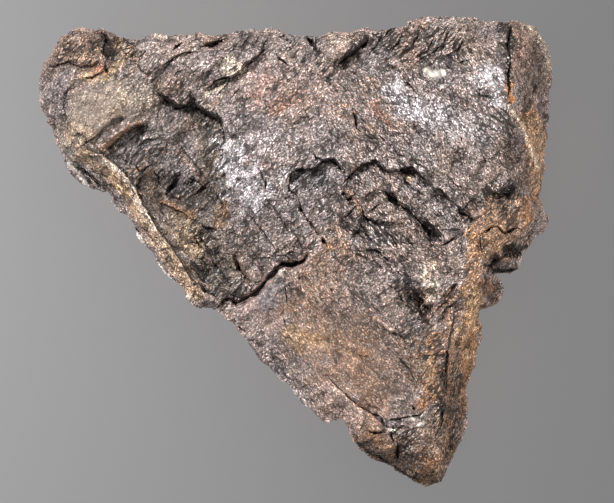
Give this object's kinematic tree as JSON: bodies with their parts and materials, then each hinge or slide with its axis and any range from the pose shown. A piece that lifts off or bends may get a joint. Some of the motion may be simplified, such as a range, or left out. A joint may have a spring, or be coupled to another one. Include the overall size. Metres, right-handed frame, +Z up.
{
  "type": "graphite specimen",
  "caption": "Rough triangular hand specimen of graphite-bearing rock with stepped plates, open cracks and a broken flank, resting on a flat base.",
  "frame": {"origin": "middle of the stone's plan, on the surface that it rests on", "axes": "+X along the long upper edge towards the steep broken flank, +Y from the pointed tip to the long upper edge, +Z up through the rough upper face"},
  "size_m": [0.0818, 0.0742, 0.0231],
  "materials": {
    "graphite_rock": "rough broken surface with a metallic graphite sheen, rust and ochre stains"
  },
  "bodies": {
    "root": {"graphite_specimen": "graphite_rock"}
  },
  "joints": []
}
